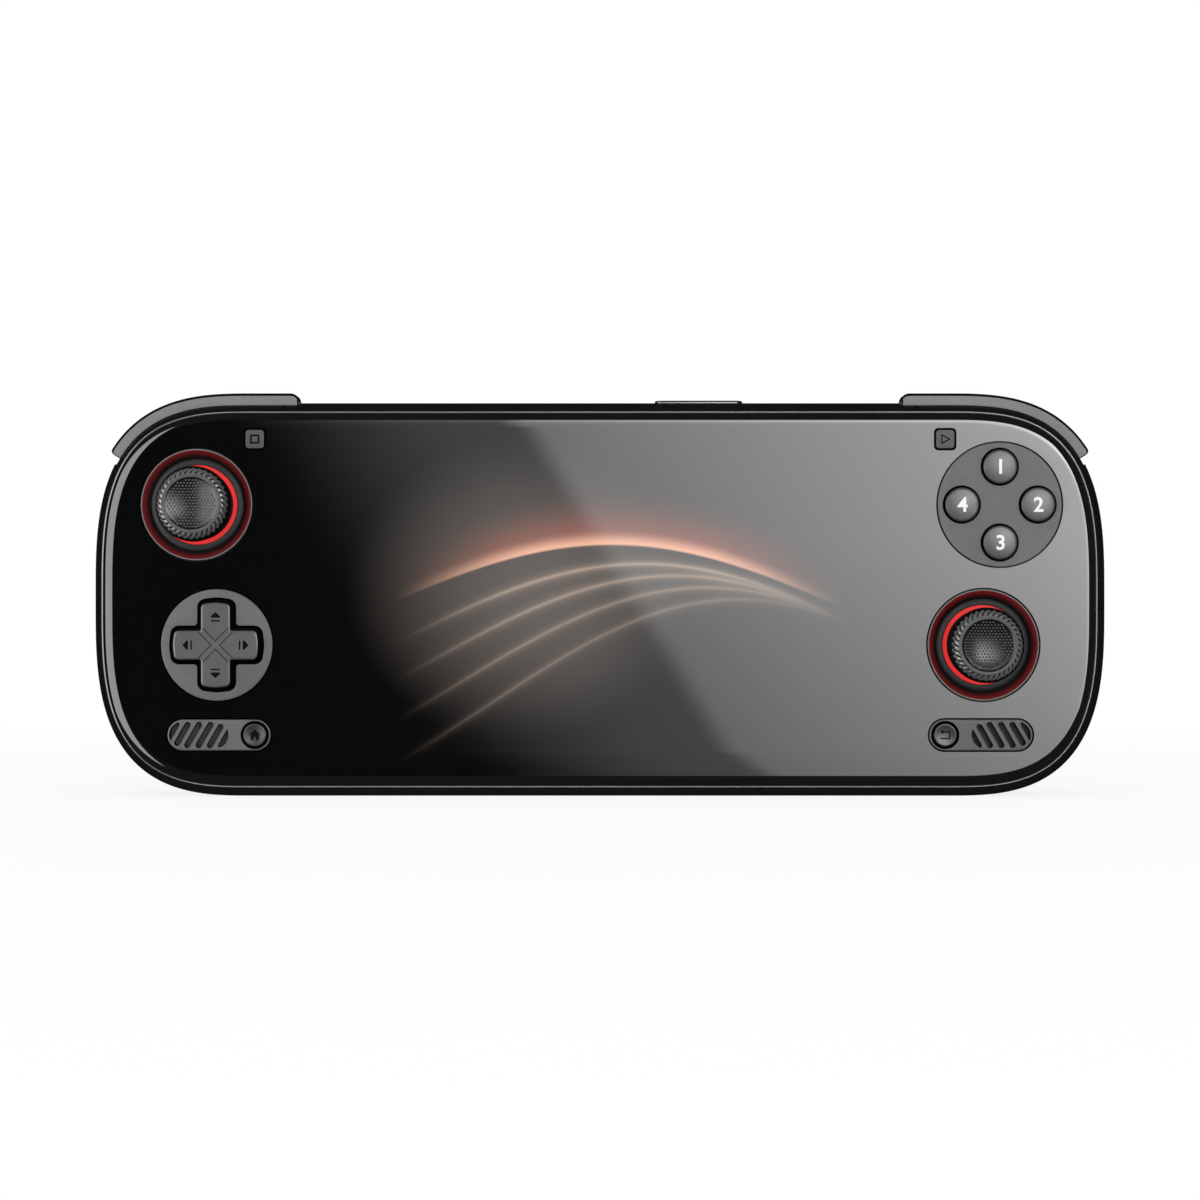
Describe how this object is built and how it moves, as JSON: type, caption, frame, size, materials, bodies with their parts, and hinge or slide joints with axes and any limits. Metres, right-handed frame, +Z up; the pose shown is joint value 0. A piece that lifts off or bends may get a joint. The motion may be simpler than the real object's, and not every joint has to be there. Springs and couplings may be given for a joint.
{
  "type": "handheld game console",
  "caption": "Handheld game console with a wide screen between two thumbsticks, a cross, face buttons, shoulder buttons and triggers, in a round-cornered body.",
  "frame": {"origin": "middle of the bottom edge, on the plane that it stands on", "axes": "+X to the right as seen from the screen side, +Y away from the screen, +Z up the screen"},
  "size_m": [0.2138, 0.0234, 0.0852],
  "materials": {
    "frame_metal": "satin, with a polished chamfer",
    "cover_glass": "polished, printed black behind",
    "screen": "dark panel",
    "back_shell": "fine texture",
    "control_plastic": "satin",
    "key_metal": "satin",
    "cap_rubber": "matt, knurled side",
    "collar_plastic": "satin",
    "light_red": "glowing",
    "steel": "bright",
    "inner_plastic": "plain",
    "membrane": "matt",
    "board": "satin",
    "cooler": "plain"
  },
  "bodies": {
    "chassis": {"mid_frame": "frame_metal", "front_glass": "cover_glass", "back_cover": "back_shell", "left_stick_collar": "collar_plastic", "right_stick_collar": "collar_plastic", "dpad_plate": "control_plastic", "face_button_plate": "control_plastic", "left_speaker_plate": "control_plastic", "right_speaker_plate": "control_plastic", "usb_port": "steel", "audio_jack": "inner_plastic", "card_reader": "steel", "display_panel": "screen", "main_board": "board", "io_board": "board", "left_control_board": "board", "right_control_board": "board", "battery": "inner_plastic", "heat_sink": "cooler", "left_light_ring": "light_red", "right_light_ring": "light_red", "left_stick_base": "steel", "right_stick_base": "steel", "dpad_membrane": "membrane", "face_button_membrane": "membrane", "left_speaker": "inner_plastic", "right_speaker": "inner_plastic", "back_screws": "steel", "board_screws": "steel", "bumper_pins": "steel", "trigger_pins": "steel", "fan_housing": "inner_plastic"},
    "fan": {"fan_rotor": "inner_plastic"},
    "left_click": {"left_stick_carrier": "inner_plastic"},
    "left_gimbal": {"left_stick_yoke": "steel"},
    "left_stick": {"left_stick_stem": "inner_plastic", "left_stick_cap": "cap_rubber"},
    "right_click": {"right_stick_carrier": "inner_plastic"},
    "right_gimbal": {"right_stick_yoke": "steel"},
    "right_stick": {"right_stick_stem": "inner_plastic", "right_stick_cap": "cap_rubber"},
    "dpad_pivot": {"dpad_ball": "steel"},
    "dpad": {"dpad_cross": "control_plastic"},
    "north": {"button_north": "control_plastic"},
    "east": {"button_east": "control_plastic"},
    "south": {"button_south": "control_plastic"},
    "west": {"button_west": "control_plastic"},
    "menu": {"menu_button": "control_plastic"},
    "start": {"start_button": "control_plastic"},
    "home": {"home_button": "control_plastic"},
    "return": {"return_button": "control_plastic"},
    "left_shoulder": {"left_bumper": "control_plastic"},
    "left_trigger": {"left_trigger": "control_plastic"},
    "right_shoulder": {"right_bumper": "control_plastic"},
    "right_trigger": {"right_trigger": "control_plastic"},
    "volume": {"volume_rocker": "key_metal"},
    "power": {"power_button": "key_metal"}
  },
  "joints": [
    {"name": "fan_spin", "type": "hinge", "parent": "chassis", "child": "fan", "pos_m": [-0.027, 0.0023, 0.0576], "axis": [0, 1, 0], "continuous": true},
    {"name": "left_stick_click", "type": "slide", "parent": "chassis", "child": "left_click", "axis": [0, 1, 0], "range_m": [0, 0.0004], "stiffness_N_per_m": 2000, "springref_m": -0.0004},
    {"name": "left_stick_updown", "type": "hinge", "parent": "left_click", "child": "left_gimbal", "pos_m": [-0.0851, 0.0018, 0.0616], "axis": [1, 0, 0], "range_deg": [-13, 13], "stiffness_Nm_per_rad": 0.03},
    {"name": "left_stick_sideways", "type": "hinge", "parent": "left_gimbal", "child": "left_stick", "pos_m": [-0.0851, 0.0018, 0.0616], "axis": [0, 0, 1], "range_deg": [-13, 13], "stiffness_Nm_per_rad": 0.03},
    {"name": "right_stick_click", "type": "slide", "parent": "chassis", "child": "right_click", "axis": [0, 1, 0], "range_m": [0, 0.0004], "stiffness_N_per_m": 2000, "springref_m": -0.0004},
    {"name": "right_stick_updown", "type": "hinge", "parent": "right_click", "child": "right_gimbal", "pos_m": [0.08085, 0.0018, 0.032], "axis": [1, 0, 0], "range_deg": [-13, 13], "stiffness_Nm_per_rad": 0.03},
    {"name": "right_stick_sideways", "type": "hinge", "parent": "right_gimbal", "child": "right_stick", "pos_m": [0.08085, 0.0018, 0.032], "axis": [0, 0, 1], "range_deg": [-13, 13], "stiffness_Nm_per_rad": 0.03},
    {"name": "dpad_updown", "type": "hinge", "parent": "chassis", "child": "dpad_pivot", "pos_m": [-0.08085, -0.00065, 0.032], "axis": [1, 0, 0], "range_deg": [-3.5, 3.5], "stiffness_Nm_per_rad": 0.15},
    {"name": "dpad_sideways", "type": "hinge", "parent": "dpad_pivot", "child": "dpad", "pos_m": [-0.08085, -0.00065, 0.032], "axis": [0, 0, 1], "range_deg": [-3.5, 3.5], "stiffness_Nm_per_rad": 0.15},
    {"name": "north_press", "type": "slide", "parent": "chassis", "child": "north", "axis": [0, 1, 0], "range_m": [0, 0.0009], "stiffness_N_per_m": 500, "springref_m": -0.0005},
    {"name": "east_press", "type": "slide", "parent": "chassis", "child": "east", "axis": [0, 1, 0], "range_m": [0, 0.0009], "stiffness_N_per_m": 500, "springref_m": -0.0005},
    {"name": "south_press", "type": "slide", "parent": "chassis", "child": "south", "axis": [0, 1, 0], "range_m": [0, 0.0009], "stiffness_N_per_m": 500, "springref_m": -0.0005},
    {"name": "west_press", "type": "slide", "parent": "chassis", "child": "west", "axis": [0, 1, 0], "range_m": [0, 0.0009], "stiffness_N_per_m": 500, "springref_m": -0.0005},
    {"name": "menu_press", "type": "slide", "parent": "chassis", "child": "menu", "axis": [0, 1, 0], "range_m": [0, 0.0005], "stiffness_N_per_m": 500, "springref_m": -0.0005},
    {"name": "start_press", "type": "slide", "parent": "chassis", "child": "start", "axis": [0, 1, 0], "range_m": [0, 0.0005], "stiffness_N_per_m": 500, "springref_m": -0.0005},
    {"name": "home_press", "type": "slide", "parent": "chassis", "child": "home", "axis": [0, 1, 0], "range_m": [0, 0.0005], "stiffness_N_per_m": 500, "springref_m": -0.0005},
    {"name": "return_press", "type": "slide", "parent": "chassis", "child": "return", "axis": [0, 1, 0], "range_m": [0, 0.0005], "stiffness_N_per_m": 500, "springref_m": -0.0005},
    {"name": "left_bumper_press", "type": "hinge", "parent": "chassis", "child": "left_shoulder", "pos_m": [-0.06705, 0, 0.0819], "axis": [0, -1, 0], "range_deg": [0, 2], "stiffness_Nm_per_rad": 0.8, "springref_deg": -1.72},
    {"name": "left_trigger_pull", "type": "hinge", "parent": "chassis", "child": "left_trigger", "pos_m": [-0.0775, 0.0049, 0.079], "axis": [-1, 0, 0], "range_deg": [0, 12], "stiffness_Nm_per_rad": 0.12, "springref_deg": -5.73},
    {"name": "right_bumper_press", "type": "hinge", "parent": "chassis", "child": "right_shoulder", "pos_m": [0.06705, 0, 0.0819], "axis": [0, 1, 0], "range_deg": [0, 2], "stiffness_Nm_per_rad": 0.8, "springref_deg": -1.72},
    {"name": "right_trigger_pull", "type": "hinge", "parent": "chassis", "child": "right_trigger", "pos_m": [0.0775, 0.0049, 0.079], "axis": [-1, 0, 0], "range_deg": [0, 12], "stiffness_Nm_per_rad": 0.12, "springref_deg": -5.73},
    {"name": "volume_rock", "type": "hinge", "parent": "chassis", "child": "volume", "pos_m": [0.02105, 0.0023, 0.07778], "axis": [0, 1, 0], "range_deg": [-1.5, 1.5], "stiffness_Nm_per_rad": 0.3},
    {"name": "power_press", "type": "slide", "parent": "chassis", "child": "power", "axis": [0, 0, -1], "range_m": [0, 0.00035], "stiffness_N_per_m": 900, "springref_m": -0.0005}
  ]
}
